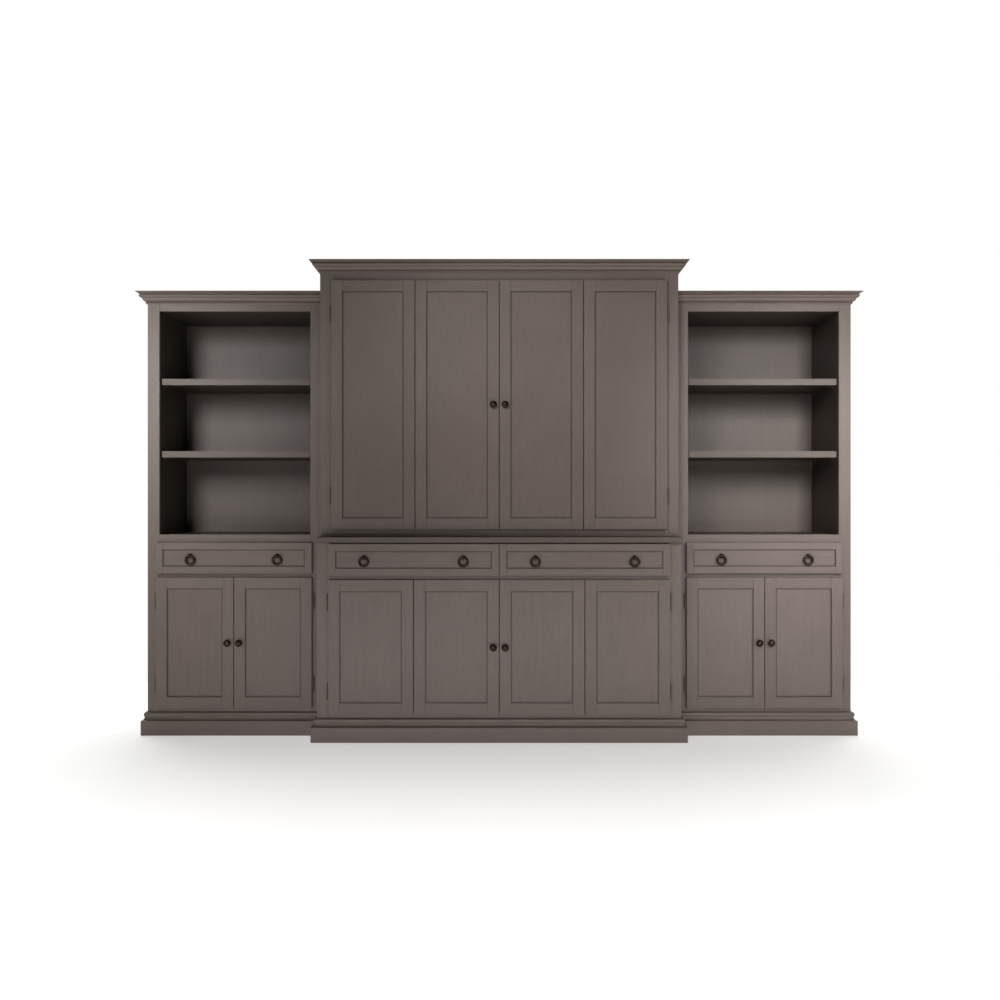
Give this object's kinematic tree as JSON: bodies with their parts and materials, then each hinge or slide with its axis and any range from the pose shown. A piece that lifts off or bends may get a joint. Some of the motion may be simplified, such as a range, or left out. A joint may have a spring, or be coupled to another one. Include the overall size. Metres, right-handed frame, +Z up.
{
  "type": "wall unit",
  "caption": "Painted wall unit: a base cabinet with drawers and folding doors, a hutch on its counter with folding doors, and an open bookcase with drawer and doors at each side.",
  "frame": {"origin": "on the floor, at the middle of the overall width and of the overall depth", "axes": "+X to the viewer's right along the front, +Y to the back, towards the wall, +Z up; the doors and drawers face -Y"},
  "size_m": [3.312, 0.6442, 2.1558],
  "materials": {
    "painted_wood": "warm grey-brown stain with a little grain showing, satin",
    "drawer_box_wood": "clear-coated pale hardwood",
    "dark_bronze": "dark oil-rubbed bronze, satin"
  },
  "bodies": {
    "cabinets": {"base_back_panel": "painted_wood", "base_carcass": "painted_wood", "base_counter_top": "painted_wood", "base_plinth": "painted_wood", "base_shelf_left": "painted_wood", "base_shelf_right": "painted_wood", "hutch_back_panel": "painted_wood", "hutch_carcass": "painted_wood", "hutch_crown": "painted_wood", "hutch_face_frame": "painted_wood", "left_bookcase_back_panel": "painted_wood", "left_bookcase_carcass": "painted_wood", "left_bookcase_crown": "painted_wood", "left_bookcase_cupboard_shelf": "painted_wood", "left_bookcase_lower_shelf": "painted_wood", "left_bookcase_plinth": "painted_wood", "left_bookcase_upper_shelf": "painted_wood", "right_bookcase_back_panel": "painted_wood", "right_bookcase_carcass": "painted_wood", "right_bookcase_crown": "painted_wood", "right_bookcase_cupboard_shelf": "painted_wood", "right_bookcase_lower_shelf": "painted_wood", "right_bookcase_plinth": "painted_wood", "right_bookcase_upper_shelf": "painted_wood"},
    "hutch_left_outer_door": {"hutch_left_outer_door": "painted_wood"},
    "hutch_left_inner_door": {"hutch_left_inner_door": "painted_wood", "hutch_left_knob": "dark_bronze"},
    "hutch_right_outer_door": {"hutch_right_outer_door": "painted_wood"},
    "hutch_right_inner_door": {"hutch_right_inner_door": "painted_wood", "hutch_right_knob": "dark_bronze"},
    "base_left_outer_door": {"base_left_outer_door": "painted_wood"},
    "base_left_inner_door": {"base_left_inner_door": "painted_wood", "base_left_knob": "dark_bronze"},
    "base_right_outer_door": {"base_right_outer_door": "painted_wood"},
    "base_right_inner_door": {"base_right_inner_door": "painted_wood", "base_right_knob": "dark_bronze"},
    "left_bookcase_inner_door": {"left_bookcase_inner_door": "painted_wood", "left_bookcase_inner_knob": "dark_bronze"},
    "left_bookcase_outer_door": {"left_bookcase_outer_door": "painted_wood", "left_bookcase_outer_knob": "dark_bronze"},
    "right_bookcase_inner_door": {"right_bookcase_inner_door": "painted_wood", "right_bookcase_inner_knob": "dark_bronze"},
    "right_bookcase_outer_door": {"right_bookcase_outer_door": "painted_wood", "right_bookcase_outer_knob": "dark_bronze"},
    "base_left_drawer": {"base_left_drawer_front": "painted_wood", "base_left_drawer_box": "drawer_box_wood"},
    "base_left_drawer_left_ring": {"base_left_drawer_left_ring": "dark_bronze"},
    "base_left_drawer_right_ring": {"base_left_drawer_right_ring": "dark_bronze"},
    "base_right_drawer": {"base_right_drawer_front": "painted_wood", "base_right_drawer_box": "drawer_box_wood"},
    "base_right_drawer_left_ring": {"base_right_drawer_left_ring": "dark_bronze"},
    "base_right_drawer_right_ring": {"base_right_drawer_right_ring": "dark_bronze"},
    "left_bookcase_drawer": {"left_bookcase_drawer_front": "painted_wood", "left_bookcase_drawer_box": "drawer_box_wood"},
    "left_bookcase_drawer_left_ring": {"left_bookcase_drawer_left_ring": "dark_bronze"},
    "left_bookcase_drawer_right_ring": {"left_bookcase_drawer_right_ring": "dark_bronze"},
    "right_bookcase_drawer": {"right_bookcase_drawer_front": "painted_wood", "right_bookcase_drawer_box": "drawer_box_wood"},
    "right_bookcase_drawer_left_ring": {"right_bookcase_drawer_left_ring": "dark_bronze"},
    "right_bookcase_drawer_right_ring": {"right_bookcase_drawer_right_ring": "dark_bronze"}
  },
  "joints": [
    {"name": "hutch_left_outer_door_swing", "type": "hinge", "parent": "cabinets", "child": "hutch_left_outer_door", "pos_m": [-0.763, -0.20535, 0.9428], "axis": [0, 0, -1], "range_deg": [0, 88]},
    {"name": "hutch_left_inner_door_fold", "type": "hinge", "parent": "hutch_left_outer_door", "child": "hutch_left_inner_door", "pos_m": [-0.3795, -0.19265, 0.9428], "axis": [0, 0, 1], "range_deg": [0, 176]},
    {"name": "hutch_right_outer_door_swing", "type": "hinge", "parent": "cabinets", "child": "hutch_right_outer_door", "pos_m": [0.763, -0.20535, 0.9428], "axis": [0, 0, 1], "range_deg": [0, 88]},
    {"name": "hutch_right_inner_door_fold", "type": "hinge", "parent": "hutch_right_outer_door", "child": "hutch_right_inner_door", "pos_m": [0.3795, -0.19265, 0.9428], "axis": [0, 0, -1], "range_deg": [0, 176]},
    {"name": "base_left_outer_door_swing", "type": "hinge", "parent": "cabinets", "child": "base_left_outer_door", "pos_m": [-0.763, -0.28435, 0.125], "axis": [0, 0, -1], "range_deg": [0, 88]},
    {"name": "base_left_inner_door_fold", "type": "hinge", "parent": "base_left_outer_door", "child": "base_left_inner_door", "pos_m": [-0.3795, -0.27165, 0.125], "axis": [0, 0, 1], "range_deg": [0, 176]},
    {"name": "base_right_outer_door_swing", "type": "hinge", "parent": "cabinets", "child": "base_right_outer_door", "pos_m": [0.763, -0.28435, 0.125], "axis": [0, 0, 1], "range_deg": [0, 88]},
    {"name": "base_right_inner_door_fold", "type": "hinge", "parent": "base_right_outer_door", "child": "base_right_inner_door", "pos_m": [0.3795, -0.27165, 0.125], "axis": [0, 0, -1], "range_deg": [0, 176]},
    {"name": "left_bookcase_inner_door_swing", "type": "hinge", "parent": "cabinets", "child": "left_bookcase_inner_door", "pos_m": [-0.8505, -0.14635, 0.125], "axis": [0, 0, 1], "range_deg": [0, 90]},
    {"name": "left_bookcase_outer_door_swing", "type": "hinge", "parent": "cabinets", "child": "left_bookcase_outer_door", "pos_m": [-1.5735, -0.14635, 0.125], "axis": [0, 0, -1], "range_deg": [0, 90]},
    {"name": "right_bookcase_inner_door_swing", "type": "hinge", "parent": "cabinets", "child": "right_bookcase_inner_door", "pos_m": [0.8505, -0.14635, 0.125], "axis": [0, 0, -1], "range_deg": [0, 90]},
    {"name": "right_bookcase_outer_door_swing", "type": "hinge", "parent": "cabinets", "child": "right_bookcase_outer_door", "pos_m": [1.5735, -0.14635, 0.125], "axis": [0, 0, 1], "range_deg": [0, 90]},
    {"name": "base_left_drawer_slide", "type": "slide", "parent": "cabinets", "child": "base_left_drawer", "axis": [0, -1, 0], "range_m": [0, 0.4]},
    {"name": "base_left_drawer_left_ring_lift", "type": "hinge", "parent": "base_left_drawer", "child": "base_left_drawer_left_ring", "pos_m": [-0.5995, -0.30185, 0.82], "axis": [-1, 0, 0], "range_deg": [-12, 90]},
    {"name": "base_left_drawer_right_ring_lift", "type": "hinge", "parent": "base_left_drawer", "child": "base_left_drawer_right_ring", "pos_m": [-0.1595, -0.30185, 0.82], "axis": [-1, 0, 0], "range_deg": [-12, 90]},
    {"name": "base_right_drawer_slide", "type": "slide", "parent": "cabinets", "child": "base_right_drawer", "axis": [0, -1, 0], "range_m": [0, 0.4]},
    {"name": "base_right_drawer_left_ring_lift", "type": "hinge", "parent": "base_right_drawer", "child": "base_right_drawer_left_ring", "pos_m": [0.1595, -0.30185, 0.82], "axis": [-1, 0, 0], "range_deg": [-12, 90]},
    {"name": "base_right_drawer_right_ring_lift", "type": "hinge", "parent": "base_right_drawer", "child": "base_right_drawer_right_ring", "pos_m": [0.5995, -0.30185, 0.82], "axis": [-1, 0, 0], "range_deg": [-12, 90]},
    {"name": "left_bookcase_drawer_slide", "type": "slide", "parent": "cabinets", "child": "left_bookcase_drawer", "axis": [0, -1, 0], "range_m": [0, 0.3]},
    {"name": "left_bookcase_drawer_left_ring_lift", "type": "hinge", "parent": "left_bookcase_drawer", "child": "left_bookcase_drawer_left_ring", "pos_m": [-1.41, -0.16385, 0.82], "axis": [-1, 0, 0], "range_deg": [-12, 90]},
    {"name": "left_bookcase_drawer_right_ring_lift", "type": "hinge", "parent": "left_bookcase_drawer", "child": "left_bookcase_drawer_right_ring", "pos_m": [-1.014, -0.16385, 0.82], "axis": [-1, 0, 0], "range_deg": [-12, 90]},
    {"name": "right_bookcase_drawer_slide", "type": "slide", "parent": "cabinets", "child": "right_bookcase_drawer", "axis": [0, -1, 0], "range_m": [0, 0.3]},
    {"name": "right_bookcase_drawer_left_ring_lift", "type": "hinge", "parent": "right_bookcase_drawer", "child": "right_bookcase_drawer_left_ring", "pos_m": [1.014, -0.16385, 0.82], "axis": [-1, 0, 0], "range_deg": [-12, 90]},
    {"name": "right_bookcase_drawer_right_ring_lift", "type": "hinge", "parent": "right_bookcase_drawer", "child": "right_bookcase_drawer_right_ring", "pos_m": [1.41, -0.16385, 0.82], "axis": [-1, 0, 0], "range_deg": [-12, 90]}
  ],
  "couplings": [
    {"joint": "hutch_left_inner_door_fold", "follows": "hutch_left_outer_door_swing", "ratio": 2},
    {"joint": "hutch_right_inner_door_fold", "follows": "hutch_right_outer_door_swing", "ratio": 2},
    {"joint": "base_left_inner_door_fold", "follows": "base_left_outer_door_swing", "ratio": 2},
    {"joint": "base_right_inner_door_fold", "follows": "base_right_outer_door_swing", "ratio": 2}
  ]
}
